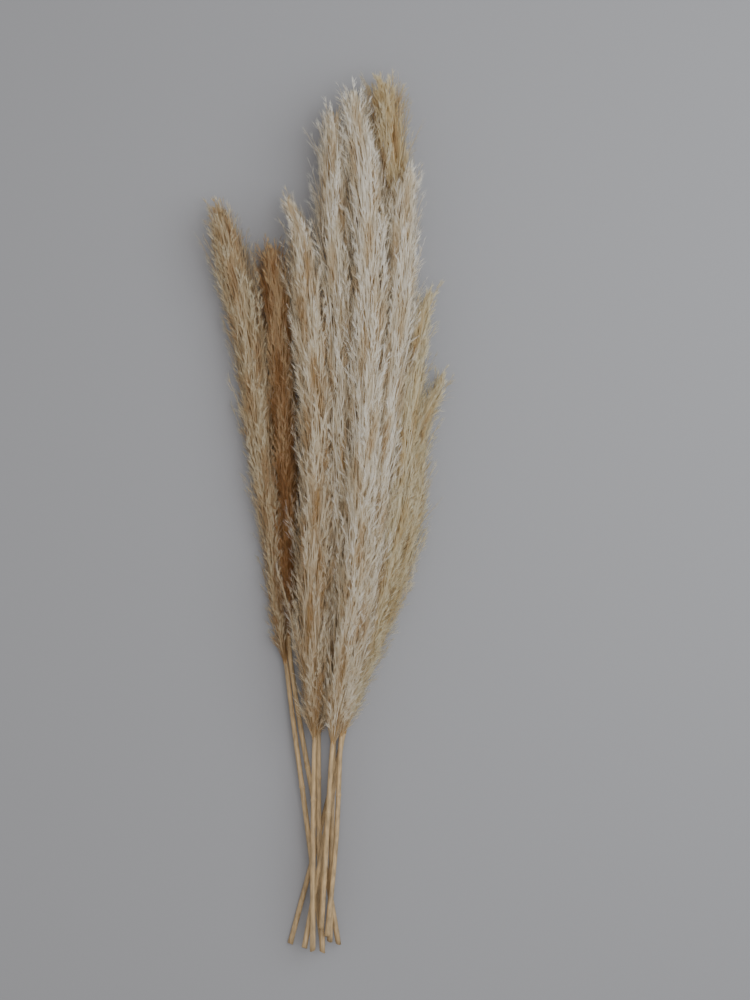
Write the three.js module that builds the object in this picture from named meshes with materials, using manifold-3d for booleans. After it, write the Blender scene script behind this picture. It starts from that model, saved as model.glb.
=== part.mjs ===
// A bundle of nine dried plumes of pampas grass, lying on a flat surface.
// Millimetres, +Z up. +Y runs along the bundle to the plume tips, +X to its right.
// Each plume is a reed stem and a feathery head. A head is a slim core with curved
// tufts rooted in it. The cross-section is shared out between the plumes, and every
// tuft is bent to stay inside the share of its own plume.
import * as THREE from "three";
import Module from "manifold-3d";

// Millimetres for one pixel of the photo, at the distance of the bundle.
const MM_PER_PIXEL = 1.0;
// Photo pixel that lies over the origin of the part.
const ORIGIN_U = 324.5;
const ORIGIN_V = 515;

// Space kept between a tuft and the border of its plume's share.
const BORDER_GAP = 0.34;
// Gap of the butt joint between a stem and its head.
const JOINT_GAP = 0.3;
// Length over which a plume's share closes beyond its tip.
const TIP_FADE = 30;
// How far tufts may reach below the surface before the flat cut.
const FLOOR_BITE = 2.4;

// Stem: sides, radius at the head and at the cut end, and the slant of the cut.
const STEM_SIDES = 8;
const STEM_TOP_RADIUS = 2.3;
const STEM_END_RADIUS = 2.8;
const STEM_CUT_SLANT = 0.45;
// A culm node is a short ring that swells out of the stem.
const CULM_SWELL = 0.45;
const CULM_HALF_LENGTH = 3.5;

// Core of a head: sides, spacing of its rings, and its share of the head's radius.
const CORE_SIDES = 6;
const CORE_STEP = 46;
const CORE_SHARE = 0.5;
const CORE_BASE_RADIUS = 3.3;

// Tufts: length at the middle of a head, width and thickness, and golden angle.
const TUFT_LENGTH = 88;
const TUFT_WIDTH = 14.5;
const TUFT_THICKNESS = 4.6;
const TUFT_TURN = 2.39996;
// Where the rings of a tuft lie along it, and how wide it is there.
const TUFT_RINGS = [0, 0.42];
const TUFT_TAPER = [0.75, 1];
// Stray branchlets are longer and thinner.
const STRAY_WIDTH = 4.2;
const STRAY_THICKNESS = 2.6;

// Grid that corners are rounded to, how much detail may be merged away, and how
// many seeds a head may try.
const WELD_GRID = 0.002;
const MERGE_TOLERANCE = 0.05;
const SEED_TRIES = 8;

// Colours of the dried grass.
const CREAM = 0xd8ccb9;
const GOLDEN = 0xc8b391;
const TAN = 0xb79f7d;
const SHADED_TAN = 0xa58a68;
const REED = 0xa89368;

// One plume in each entry. Rows of "head" run from the tip to the base and hold:
// pixel row, pixel column, height of the axis, half width, half height (the last
// three in millimetres). Rows of "stem" hold: pixel row, pixel column, height.
// "culms" are pixel rows of the culm nodes. Rows of "strays" hold the pixel row of
// the root, then the pixel row, the pixel column and the height of the tip.
const PLUMES = [
  {
    name: "left",
    colour: TAN,
    tufts: 50,
    seed: 11,
    head: [
      [193, 216, 32, 5, 5],
      [205, 218, 30.5, 10, 10],
      [222, 222, 28, 16, 15],
      [240, 227, 26, 21, 18],
      [268, 232.5, 23, 22.5, 20],
      [300, 240, 20, 21.5, 21],
      [360, 251, 18.5, 20, 20],
      [420, 256.5, 17, 17, 18],
      [480, 264, 16, 14, 15],
      [540, 272, 15, 10.5, 12],
      [600, 276.5, 14, 8.5, 10],
      [640, 281, 13, 7.5, 8],
      [668, 285.5, 12, 5, 5],
    ],
    stem: [[705, 290, 12], [825, 306, 11.6], [950, 322, 11]],
    culms: [790],
    strays: [
      [318, 239, 199, 27],
      [300, 229, 246, 24],
      [322, 246, 256, 22],
    ],
  },
  {
    name: "left_back",
    colour: SHADED_TAN,
    tufts: 40,
    seed: 23,
    head: [
      [233, 271, 24, 5, 5],
      [250, 271.5, 22, 15, 14],
      [275, 273.5, 19, 20, 18],
      [300, 277, 17.5, 19, 19],
      [360, 280, 17, 17, 18],
      [420, 283, 16, 16, 17],
      [480, 285, 15, 14.5, 16],
      [540, 286, 14, 12, 14],
      [590, 287, 13.5, 9, 11],
      [640, 288, 13, 5.5, 5.5],
    ],
    stem: [[705, 296, 12.4], [825, 317, 12], [948, 338, 11.5]],
    culms: [770],
    strays: [],
  },
  {
    name: "front_left",
    colour: CREAM,
    tufts: 58,
    seed: 37,
    head: [
      [186, 286, 44, 4, 4],
      [205, 290, 46, 7.5, 8],
      [235, 301, 47, 14, 13],
      [270, 305, 47, 18.5, 18],
      [310, 308.5, 47, 21.5, 21],
      [360, 313, 47, 22, 23],
      [400, 316, 46.5, 22, 23],
      [450, 317, 45.5, 21.5, 23],
      [500, 317, 44, 21, 22],
      [550, 315, 42, 21, 21],
      [600, 313, 40, 21, 19],
      [650, 313, 38, 18.5, 16],
      [700, 315, 34.5, 15, 14],
      [742, 314.5, 33.5, 5.5, 5.5],
    ],
    stem: [[825, 313, 32.6], [951, 312.5, 31]],
    culms: [800],
    strays: [
      [270, 205, 283, 47],
      [300, 228, 304, 66],
      [318, 261, 282, 50],
      [388, 336, 287, 52],
      [575, 512, 287, 40],
      [590, 528, 291, 34],
      [700, 565, 276, 38],
    ],
  },
  {
    name: "front_middle",
    colour: CREAM,
    tufts: 58,
    seed: 41,
    head: [
      [100, 332, 48, 6, 6],
      [116, 333, 47.5, 14, 12],
      [150, 334, 46.5, 21, 16],
      [200, 335, 45, 24.5, 20],
      [235, 335.5, 44.5, 26, 21],
      [270, 337.5, 44, 26, 22],
      [320, 340, 43, 26, 23],
      [380, 341, 42.5, 26, 23],
      [440, 342, 41.5, 25, 23],
      [500, 341, 39.5, 25, 22],
      [560, 338, 36, 24, 21],
      [620, 331, 30, 21, 18],
      [690, 322, 19.5, 16, 14],
      [738, 318, 16.5, 5.5, 5.5],
    ],
    stem: [[825, 318.5, 17.8], [955, 322, 20]],
    culms: [780],
    strays: [[178, 138, 312, 38], [250, 191, 314, 40]],
  },
  {
    name: "front_tall",
    colour: CREAM,
    tufts: 62,
    seed: 53,
    head: [
      [81, 351, 53, 6, 6],
      [98, 353, 54, 13, 12],
      [130, 357, 54.5, 20, 17],
      [180, 365, 55, 26.5, 21],
      [240, 369, 55.5, 29, 23],
      [300, 370, 55.5, 28.5, 24],
      [360, 369, 55.5, 28, 24],
      [420, 367, 55.5, 27, 24],
      [480, 364, 54.5, 26, 23],
      [540, 359, 53, 24.5, 21],
      [600, 353, 50.5, 22.5, 19],
      [660, 343, 47, 19.5, 16],
      [705, 336, 44, 14, 12],
      [746, 332.5, 43.5, 5.5, 5.5],
    ],
    stem: [[825, 327.5, 37.5], [930, 321, 29]],
    culms: [812],
    strays: [],
  },
  {
    name: "back_tall",
    colour: GOLDEN,
    tufts: 56,
    seed: 67,
    head: [
      [70, 380, 34, 9, 8],
      [77, 382, 34, 16, 14],
      [90, 384.5, 34, 21, 19],
      [115, 387, 34, 22.5, 21],
      [150, 390.5, 33, 22.5, 21],
      [190, 394, 31, 22, 21],
      [230, 396, 28, 21, 22],
      [280, 394, 24, 21, 22],
      [340, 388, 21, 21, 22],
      [400, 381, 20, 20, 21],
      [460, 374, 19, 19, 20],
      [520, 366, 18, 17, 18],
      [580, 357, 16, 15, 16],
      [640, 347, 14.5, 13, 14],
      [700, 337, 13.5, 11, 12],
      [736, 333.5, 13.5, 5.5, 5.5],
    ],
    stem: [[825, 331.5, 15.6], [944, 329.5, 19]],
    culms: [765],
    strays: [],
  },
  {
    name: "front_right",
    colour: CREAM,
    tufts: 50,
    seed: 71,
    head: [
      [160, 414, 52, 5, 5],
      [180, 408, 52, 12.5, 12],
      [215, 403, 51.5, 19.5, 17],
      [250, 401.5, 51, 20.5, 18],
      [300, 400, 50.5, 20.5, 19],
      [350, 396, 50, 20, 20],
      [400, 390, 49.5, 19, 20],
      [450, 384, 49, 19, 20],
      [500, 378, 47.5, 19, 19],
      [550, 371, 46, 18, 18],
      [600, 364, 44, 16, 16],
      [650, 356, 42, 14, 14],
      [700, 346, 39.5, 11, 10],
      [738, 341, 38, 5.5, 5.5],
    ],
    stem: [[825, 337, 34], [938, 327, 27]],
    culms: [795],
    strays: [[225, 178, 420, 56]],
  },
  {
    name: "right_back",
    colour: GOLDEN,
    tufts: 42,
    seed: 84,
    head: [
      [278, 437, 37, 3.5, 3.5],
      [300, 427, 38, 8, 8],
      [345, 416, 40, 14.5, 14.5],
      [400, 409, 40, 17.5, 18],
      [450, 404.5, 39.5, 18, 18],
      [500, 399, 38, 18, 18],
      [550, 391, 36, 17, 17],
      [600, 381, 33, 15, 15],
      [650, 365, 28.5, 12, 12],
      [700, 349, 26, 10, 9],
      [736, 343, 25.5, 5.5, 5.5],
    ],
    stem: [[825, 327, 25.4], [950, 304, 25]],
    culms: [775],
    strays: [[322, 282, 443, 38]],
  },
  {
    name: "right_low",
    colour: GOLDEN,
    tufts: 38,
    seed: 97,
    head: [
      [360, 448, 28, 3.5, 3.5],
      [380, 441, 27.5, 5.5, 5.5],
      [400, 432, 26, 9, 9],
      [425, 421, 24.5, 12.5, 14],
      [460, 413.5, 22.5, 15.5, 18],
      [500, 410, 22, 17.5, 20],
      [540, 404, 21, 18, 19],
      [580, 393.5, 19, 17, 17],
      [620, 380.5, 15.5, 14, 14],
      [660, 366, 11.5, 11.5, 12],
      [695, 353.5, 9.5, 10, 10],
      [728, 345.5, 8.3, 5.5, 5.5],
    ],
    stem: [[825, 322, 6], [950, 289, 3]],
    culms: [785],
    strays: [[545, 503, 438, 20], [610, 566, 417, 20]],
  },
];

// Lay a plume's rows out in millimetres, in rising order of Y.
function place(plume) {
  const mm = (row, width, height) => ({
    y: (ORIGIN_V - row[0]) * MM_PER_PIXEL,
    x: (row[1] - ORIGIN_U) * MM_PER_PIXEL,
    z: row[2],
    width,
    height,
  });
  const head = plume.head.map((row) => mm(row, row[3], row[4]));
  const share = STEM_END_RADIUS + 0.9;
  const stem = plume.stem.map((row) => mm(row, share, share));
  const rows = [...head, ...stem].reverse();
  const placed = {
    ...plume,
    rows,
    tipY: head[0].y,
    baseY: head[head.length - 1].y,
    endY: stem[stem.length - 1].y,
  };
  placed.culmY = plume.culms.map((v) => (ORIGIN_V - v) * MM_PER_PIXEL);
  return placed;
}

// Slope of one column of the rows at row i, set so that the curve never overshoots.
function slope(rows, key, i) {
  if (i === 0 || i === rows.length - 1) {
    const a = i === 0 ? 0 : i - 1;
    return (rows[a + 1][key] - rows[a][key]) / (rows[a + 1].y - rows[a].y);
  }
  const before = (rows[i][key] - rows[i - 1][key]) / (rows[i].y - rows[i - 1].y);
  const after = (rows[i + 1][key] - rows[i][key]) / (rows[i + 1].y - rows[i].y);
  if (before * after <= 0) {
    return 0;
  }
  return (2 * before * after) / (before + after);
}

// Value of one column at height y, on a smooth curve through the rows.
function along(rows, key, y) {
  let i = 0;
  while (i < rows.length - 2 && y > rows[i + 1].y) {
    i += 1;
  }
  const span = rows[i + 1].y - rows[i].y;
  const t = Math.min(1, Math.max(0, (y - rows[i].y) / span));
  const t2 = t * t;
  const t3 = t2 * t;
  const from = rows[i][key] * (2 * t3 - 3 * t2 + 1);
  const to = rows[i + 1][key] * (3 * t2 - 2 * t3);
  const leave = slope(rows, key, i) * span * (t3 - 2 * t2 + t);
  const arrive = slope(rows, key, i + 1) * span * (t3 - t2);
  return from + to + leave + arrive;
}

// Centre and half axes of a plume's ellipse in the cross-section at y.
function section(plume, y) {
  const top = plume.rows[plume.rows.length - 1];
  const lower = plume.rows[plume.rows.length - 2];
  const beyond = Math.max(0, y - plume.tipY);
  const lean = (top.x - lower.x) / (top.y - lower.y);
  const fade = Math.max(0, 1 - beyond / TIP_FADE);
  return {
    plume,
    x: along(plume.rows, "x", y) + lean * beyond,
    z: along(plume.rows, "z", y),
    width: along(plume.rows, "width", y) * fade,
    height: along(plume.rows, "height", y) * fade,
  };
}

// All ellipses that the cross-section at y holds.
function sectionsAt(plumes, y) {
  const found = [];
  for (const plume of plumes) {
    if (y >= plume.endY - 4 && y < plume.tipY + TIP_FADE - 1) {
      found.push(section(plume, y));
    }
  }
  return found;
}

// True when a point of the cross-section lies in the share of the ellipse "own".
function isInside(own, others, x, z) {
  const mine = Math.hypot((x - own.x) / own.width, (z - own.z) / own.height);
  for (const other of others) {
    if (other.plume === own.plume) {
      continue;
    }
    const dx = x - other.x;
    const dz = z - other.z;
    if (Math.hypot(dx / other.width, dz / other.height) < mine) {
      return false;
    }
    const solid = other.plume.baseY > own.y ? STEM_END_RADIUS + CULM_SWELL + 0.4 : 0;
    if (Math.hypot(dx, dz) < solid) {
      return false;
    }
  }
  return z > -FLOOR_BITE;
}

// Distance from the axis to the border of the plume's share, in the direction "angle",
// or "most" where the border is farther away.
function reach(own, others, angle, most) {
  const cos = Math.cos(angle);
  const sin = Math.sin(angle);
  let near = 0;
  let far = 0;
  while (far < most) {
    far = Math.min(most, far + 1);
    if (!isInside(own, others, own.x + far * cos, own.z + far * sin)) {
      for (let i = 0; i < 12; i += 1) {
        const middle = (near + far) / 2;
        if (isInside(own, others, own.x + middle * cos, own.z + middle * sin)) {
          near = middle;
        } else {
          far = middle;
        }
      }
      return Math.max(0.8, near - BORDER_GAP);
    }
    near = far;
  }
  return most;
}

// Radius of an ellipse in the direction "angle".
function ellipseRadius(own, angle) {
  return 1 / Math.hypot(Math.cos(angle) / own.width, Math.sin(angle) / own.height);
}

// Seeded random numbers from 0 to 1.
function randomFrom(seed) {
  let state = seed * 7919 + 17;
  return () => {
    state = (state * 1103515245 + 12345) % 2147483648;
    return state / 2147483648;
  };
}

// Signed volume of a triangle list.
function volumeOf(points, faces) {
  let six = 0;
  for (const [a, b, c] of faces) {
    six += points[a].dot(points[b].clone().cross(points[c]));
  }
  return six / 6;
}

// Closed skin over rings that all have the same number of points. The last ring may
// be a single point.
function skin(rings) {
  const sides = rings[0].length;
  const points = rings.flat();
  const faces = [];
  for (let i = 1; i < sides - 1; i += 1) {
    faces.push([0, i + 1, i]);
  }
  for (let r = 0; r + 1 < rings.length; r += 1) {
    const low = r * sides;
    const high = low + sides;
    for (let i = 0; i < sides; i += 1) {
      const j = (i + 1) % sides;
      if (rings[r + 1].length === 1) {
        faces.push([low + i, low + j, high]);
      } else {
        faces.push([low + i, low + j, high + j]);
        faces.push([low + i, high + j, high + i]);
      }
    }
  }
  const last = rings[rings.length - 1].length;
  const start = points.length - last;
  for (let i = 1; i < last - 1; i += 1) {
    faces.push([start, start + i, start + i + 1]);
  }
  if (volumeOf(points, faces) < 0) {
    faces.forEach((face) => face.reverse());
  }
  return { points, faces };
}

// Solid of the solid modeller from a closed skin.
function toSolid(wasm, { points, faces }) {
  const mesh = new wasm.Mesh({
    numProp: 3,
    vertProperties: new Float32Array(points.flatMap((p) => [p.x, p.y, p.z])),
    triVerts: new Uint32Array(faces.flat()),
  });
  return new wasm.Manifold(mesh);
}

// Solid of a three.js box, used for the flat cut.
function boxSolid(wasm, size, centre) {
  const geometry = new THREE.BoxGeometry(size.x, size.y, size.z);
  const at = geometry.attributes.position;
  const points = [];
  const index = new Map();
  const faces = [];
  const order = [...geometry.index.array].map((i) => {
    const p = new THREE.Vector3().fromBufferAttribute(at, i).add(centre);
    const key = [p.x, p.y, p.z].join(",");
    if (!index.has(key)) {
      index.set(key, points.length);
      points.push(p);
    }
    return index.get(key);
  });
  for (let i = 0; i < order.length; i += 3) {
    faces.push([order[i], order[i + 1], order[i + 2]]);
  }
  return toSolid(wasm, { points, faces });
}

// The skin of a solid with the largest volume, without sealed hollows or loose scraps.
function outerSkin(solid) {
  const mesh = solid.getMesh();
  const stride = mesh.numProp;
  const points = [];
  const welded = [];
  const index = new Map();
  for (let i = 0; i < mesh.vertProperties.length; i += stride) {
    const rounded = [...mesh.vertProperties.slice(i, i + 3)].map(
      (value) => Math.round(value / WELD_GRID) * WELD_GRID,
    );
    const key = rounded.map((value) => value.toFixed(3)).join(",");
    if (!index.has(key)) {
      index.set(key, points.length);
      points.push(new THREE.Vector3(...rounded));
    }
    welded.push(index.get(key));
  }
  const parent = points.map((point, i) => i);
  const find = (i) => {
    let root = i;
    while (parent[root] !== root) {
      parent[root] = parent[parent[root]];
      root = parent[root];
    }
    return root;
  };
  const faces = [];
  for (let i = 0; i < mesh.triVerts.length; i += 3) {
    const face = [...mesh.triVerts.slice(i, i + 3)].map((corner) => welded[corner]);
    if (new Set(face).size < 3) {
      continue;
    }
    faces.push(face);
    parent[find(face[0])] = find(face[1]);
    parent[find(face[1])] = find(face[2]);
  }
  const groups = new Map();
  for (const face of faces) {
    const root = find(face[0]);
    groups.set(root, [...(groups.get(root) ?? []), face]);
  }
  const skins = [...groups.values()];
  skins.sort((a, b) => volumeOf(points, b) - volumeOf(points, a));
  return { points, faces: skins[0] };
}

// True when every edge of the faces is shared by exactly two of them.
function isClosed(faces) {
  const edges = new Map();
  for (const [a, b, c] of faces) {
    for (const [from, to] of [[a, b], [b, c], [c, a]]) {
      const key = `${from},${to}`;
      if (edges.has(key)) {
        return false;
      }
      edges.set(key, `${to},${from}`);
    }
  }
  return [...edges.values()].every((back) => edges.has(back));
}

// Named mesh from a solid.
function toMesh(solid, name, colour) {
  const mesh = solid.getMesh();
  const geometry = new THREE.BufferGeometry();
  const stride = mesh.numProp;
  const position = new Float32Array((mesh.vertProperties.length / stride) * 3);
  for (let i = 0; i < position.length / 3; i += 1) {
    for (let k = 0; k < 3; k += 1) {
      position[3 * i + k] = mesh.vertProperties[stride * i + k];
    }
  }
  geometry.setAttribute("position", new THREE.BufferAttribute(position, 3));
  geometry.setIndex(new THREE.BufferAttribute(new Uint32Array(mesh.triVerts), 1));
  geometry.computeVertexNormals();
  const material = new THREE.MeshStandardMaterial({ color: colour, roughness: 0.9 });
  material.flatShading = true;
  const named = new THREE.Mesh(geometry, material);
  named.name = name;
  return named;
}

// Point of the cross-section at y, from an angle and a distance to the axis.
function polar(own, y, angle, distance) {
  const x = own.x + distance * Math.cos(angle);
  const z = own.z + distance * Math.sin(angle);
  return new THREE.Vector3(x, y, z);
}

// Three corners of a tuft: an outer ridge and two side edges nearer the axis.
function tuftRing(own, others, y, angle, distance, width, thickness) {
  const free = reach(own, others, angle, distance + thickness / 2);
  const ridge = Math.min(distance + thickness / 2, free);
  const thin = Math.min(thickness, ridge * 0.55);
  const half = Math.min(0.8, width / 2 / Math.max(4, ridge - thin));
  const corners = [polar(own, y, angle, ridge)];
  for (const side of [1, -1]) {
    const edge = reach(own, others, angle + side * half, ridge);
    corners.push(polar(own, y, angle + side * half, Math.min(edge, ridge - thin)));
  }
  return corners;
}

// One curved tuft. "share" lists the distance at each ring as a part of the free radius.
function tuft(plumes, plume, rootY, length, angle, twist, share, width, thickness, tip) {
  const rings = [];
  for (let i = 0; i < share.length; i += 1) {
    const y = rootY + length * TUFT_RINGS[i];
    const turned = angle + twist * TUFT_RINGS[i];
    const others = sectionsAt(plumes, y);
    const own = others.find((other) => other.plume === plume);
    own.y = y;
    const round = ellipseRadius(own, turned);
    const free = reach(own, others, turned, round);
    const distance = Math.max(1.2, free * share[i] - thickness / 2);
    const scale = Math.min(1, (0.35 + round / 26) * 0.9);
    const ring = tuftRing(
      own, others, y, turned, distance, width * TUFT_TAPER[i] * scale, thickness,
    );
    rings.push(ring);
  }
  const tipY = rootY + length;
  const others = sectionsAt(plumes, tipY);
  const own = others.find((other) => other.plume === plume);
  own.y = tipY;
  const end = tip(own, angle + twist);
  const free = reach(own, others, end.angle, end.distance);
  rings.push([polar(own, tipY, end.angle, Math.min(end.distance, free))]);
  return skin(rings);
}

// Core of a head: a slim tapering body that the tufts grow from.
function coreSkin(plumes, plume) {
  const rings = [];
  const length = plume.tipY - plume.baseY;
  const count = Math.round(length / CORE_STEP);
  for (let i = 0; i < count; i += 1) {
    const y = plume.baseY + ((length - 8) * i) / count;
    const others = sectionsAt(plumes, y);
    const own = others.find((other) => other.plume === plume);
    own.y = y;
    const ring = [];
    for (let k = 0; k < CORE_SIDES; k += 1) {
      const angle = (2 * Math.PI * k) / CORE_SIDES + 0.35;
      const round = ellipseRadius(own, angle);
      const free = reach(own, others, angle, round);
      const radius = i === 0 ? CORE_BASE_RADIUS : Math.max(2.4, free * CORE_SHARE);
      ring.push(polar(own, y, angle, radius));
    }
    rings.push(ring);
  }
  const own = section(plume, plume.tipY - 4);
  rings.push([polar(own, plume.tipY - 4, 0, 0)]);
  return skin(rings);
}

// Outer skin of a plume's feathery head, with the tufts that a seed gives.
function headSkin(wasm, plumes, plume, floor, seed) {
  const random = randomFrom(seed);
  const solids = [toSolid(wasm, coreSkin(plumes, plume))];
  const length = plume.tipY - plume.baseY;
  for (let k = 0; k < plume.tufts; k += 1) {
    const part = (k + 0.3 + 0.5 * random()) / plume.tufts;
    const rootY = plume.baseY + 5 + part * 0.93 * (length - 26);
    const wanted = TUFT_LENGTH * (0.8 + 0.35 * random()) * (1 - 0.35 * part);
    const reachY = Math.min(wanted, plume.tipY - rootY + 2 * random());
    const angle = k * TUFT_TURN + 0.25 * (random() - 0.5);
    const twist = 0.5 * (random() - 0.5);
    const flare = 0.98 + 0.3 * random() * random();
    const tip = (own, turned) => ({
      angle: turned,
      distance: ellipseRadius(own, turned) * flare,
    });
    const share = [0.3, 0.98];
    solids.push(toSolid(wasm, tuft(
      plumes, plume, rootY, reachY, angle, twist, share, TUFT_WIDTH, TUFT_THICKNESS, tip,
    )));
  }
  for (const [rootV, tipV, tipU, tipZ] of plume.strays) {
    const rootY = (ORIGIN_V - rootV) * MM_PER_PIXEL;
    const tipY = (ORIGIN_V - tipV) * MM_PER_PIXEL;
    const tipX = (tipU - ORIGIN_U) * MM_PER_PIXEL;
    const at = section(plume, tipY);
    const angle = Math.atan2(tipZ - at.z, tipX - at.x);
    const tip = (own) => ({
      angle,
      distance: Math.hypot(tipZ - own.z, tipX - own.x),
    });
    const share = [0.3, 1];
    solids.push(toSolid(wasm, tuft(
      plumes, plume, rootY, tipY - rootY, angle, 0, share, STRAY_WIDTH, STRAY_THICKNESS, tip,
    )));
  }
  const fused = wasm.Manifold.union(solids).subtract(floor);
  return outerSkin(fused.simplify(MERGE_TOLERANCE));
}

// Feathery head of one plume. Where two tufts happen to meet in a bare edge, the
// next seed is used.
function headSolid(wasm, plumes, plume, floor) {
  for (let again = 0; again < SEED_TRIES; again += 1) {
    const outer = headSkin(wasm, plumes, plume, floor, plume.seed + 500 * again);
    if (isClosed(outer.faces)) {
      return toSolid(wasm, outer);
    }
  }
  throw new Error(`the head of ${plume.name} is not closed`);
}

// Reed stem of one plume, with its culm nodes and a slanting cut.
function stemSkin(plume) {
  const top = plume.baseY - JOINT_GAP;
  const stations = [];
  const add = (y, swell) => stations.push({ y, swell });
  add(top, 0);
  for (const y of plume.culmY) {
    add(y + CULM_HALF_LENGTH, 0);
    add(y + 0.6, CULM_SWELL);
    add(y - 0.6, CULM_SWELL);
    add(y - CULM_HALF_LENGTH, 0);
  }
  for (const row of plume.rows) {
    if (row.y < top - 12 && row.y > plume.endY) {
      add(row.y, 0);
    }
  }
  add(plume.endY, 0);
  stations.sort((a, b) => b.y - a.y);
  const rings = stations.map(({ y, swell }) => {
    const own = section(plume, y);
    const down = (top - y) / (top - plume.endY);
    const radius = STEM_TOP_RADIUS + (STEM_END_RADIUS - STEM_TOP_RADIUS) * down + swell;
    const ring = [];
    for (let k = 0; k < STEM_SIDES; k += 1) {
      const angle = (2 * Math.PI * (k + 0.5)) / STEM_SIDES;
      const point = polar(own, y, angle, radius);
      if (y === plume.endY) {
        point.y += STEM_CUT_SLANT * radius * Math.cos(angle - plume.seed);
      }
      ring.push(point);
    }
    return ring;
  });
  return skin(rings);
}

async function build() {
  const wasm = await Module();
  wasm.setup();
  const plumes = PLUMES.map(place);
  const floor = boxSolid(
    wasm, new THREE.Vector3(800, 1400, 100), new THREE.Vector3(0, 0, -50),
  );
  const bundle = new THREE.Group();
  bundle.name = "pampas_bundle";
  for (const plume of plumes) {
    const stem = toSolid(wasm, stemSkin(plume));
    const head = headSolid(wasm, plumes, plume, floor);
    bundle.add(toMesh(stem, `stem_${plume.name}`, REED));
    bundle.add(toMesh(head, `head_${plume.name}`, plume.colour));
  }
  return bundle;
}

export default await build();
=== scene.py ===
"""Dresses a lying bundle of dried pampas grass: feathery heads, reed stems, and a stage.

Every head is grown from its axis. Branchlets rise from the axis and bend out to the border
of the plume's own share of the cross-section, or a little past it. They carry side twigs,
and the twigs carry silky hairs. Down and a dense core fill the room between them.
Lengths are millimetres here and become metres when a mesh is made.
"""

import math
from functools import partial

import bpy
import numpy as np
from bpy.props import FloatProperty, FloatVectorProperty, IntProperty, PointerProperty
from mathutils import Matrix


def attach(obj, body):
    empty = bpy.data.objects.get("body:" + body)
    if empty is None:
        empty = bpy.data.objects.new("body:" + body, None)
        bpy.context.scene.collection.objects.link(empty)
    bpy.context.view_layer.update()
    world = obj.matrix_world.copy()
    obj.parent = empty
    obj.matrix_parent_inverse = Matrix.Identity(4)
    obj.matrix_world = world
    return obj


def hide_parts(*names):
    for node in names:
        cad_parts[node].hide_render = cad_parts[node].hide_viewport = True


bl_info = {
    "name": "Pampas grass bundle",
    "version": (1, 0, 0),
    "blender": (4, 5, 0),
    "location": "View3D > Sidebar > Pampas",
    "description": "Feathery heads, reed stems and a stage for a bundle of pampas grass",
    "category": "Object",
}

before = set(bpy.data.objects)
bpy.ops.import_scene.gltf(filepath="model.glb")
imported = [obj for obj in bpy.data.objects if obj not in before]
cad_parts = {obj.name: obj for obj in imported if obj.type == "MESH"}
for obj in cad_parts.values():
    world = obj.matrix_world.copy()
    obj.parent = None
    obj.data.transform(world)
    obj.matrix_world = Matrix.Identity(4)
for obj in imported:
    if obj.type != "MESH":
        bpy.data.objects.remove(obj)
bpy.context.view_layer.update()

# Photo pixel over the origin, and millimetres for one pixel at the bundle.
ORIGIN_U = 324.5
ORIGIN_V = 515.0
MM_PER_PIXEL = 1.0
# Size of the photo in pixels.
PHOTO_WIDTH = 750
PHOTO_HEIGHT = 1000

# Stem radius at the head and at the cut end, and how far a stem runs up into its head.
STEM_TOP_RADIUS = 2.3
STEM_END_RADIUS = 2.8
STEM_IN_HEAD = 24.0
# Height and half width of the bell curve of a culm node.
CULM_SWELL = 0.5
CULM_WIDTH = 1.3
# Slant of the cut end, as a part of the radius.
CUT_SLANT = 0.45
# Space kept round a stem when the cross-section is shared out.
STEM_SPACE = 0.9
# Length over which a plume's share closes beyond its tip.
TIP_FADE = 30.0
# Angles, radii and step of the stations on which the share of a plume is worked out.
SHARE_ANGLES = 48
SHARE_RADII = np.arange(0.75, 66.0, 0.75)
SHARE_STEP = 4.0
# Least half axis of an ellipse, in the sharing out and where its radius is read.
LEAST_SHARE = 0.3
LEAST_RADIUS = 0.5
# Below the first height, places close in on the second.
FLOOR_NEAR = 3.0
FLOOR_GAP = 0.25
GOLDEN_ANGLE = 2.39996
# How far the tips of branchlets may mingle with the plume beside theirs.
MINGLE = 10.0
# How far past its plume's ellipse a branchlet may end.
STAND_OFF = 10.0
# Half step over which the direction of a branchlet and of its stalk is measured.
TWIG_STEP = 0.03
STALK_STEP = 0.02
# Width of a side twig at its widest.
TWIG_WIDTH = 0.4
# Heights at which the size of a head is read, to spread things over it.
SPREAD_STEPS = 400
# Waves of the hollows between sprays: number in a turn, millimetres along the plume
# for one radian, share of the phase, and strength.
HOLLOW_WAVES = ((3, 17.0, 1.0, 1.0), (5, -22.0, 2.3, 1.0), (8, 12.0, 3.7, 0.7))
# Part by which branchlets are shorter in a hollow, and how much darker its hair is
# painted there, as painted shade.
HOLLOW_DEPTH = 0.36
HOLLOW_SHADE = 0.38
# Tone of hair at the axis, its rise to the outside, the power of that rise, and how
# much darker hair is painted at the foot of a head and beside a neighbour, as painted
# shade.
TONE_INSIDE = 0.34
TONE_RISE = 0.48
TONE_POWER = 1.8
FOOT_SHADE = 0.14
CROWD_SHADE = 0.1
# Least and greatest tone, and how the tone differs at the four corners of a blade.
LEAST_TONE = 0.04
GREATEST_TONE = 0.96
CORNER_TONES = np.array([0.0, -0.008, 0.008, 0.0])
# Second axis of the map, for twigs, and at the root, sides and tip of hair and down.
TWIG_GRAIN = 0.3
HAIR_GRAIN = (0.06, 0.38, 0.4, 0.96)
DOWN_GRAIN = (0.04, 0.28, 0.3, 0.7)
# Cells of the patterns across, along and through the bundle: a fibre and a weathered
# patch of reed. The cells of the floor's roller grain are as wide as long.
FIBRE_SIZE = (0.5, 40.0, 0.5)
PATCH_SIZE = (10 / 3, 12.5, 10 / 3)
ROLLER_GRAIN = 20 / 7
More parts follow.
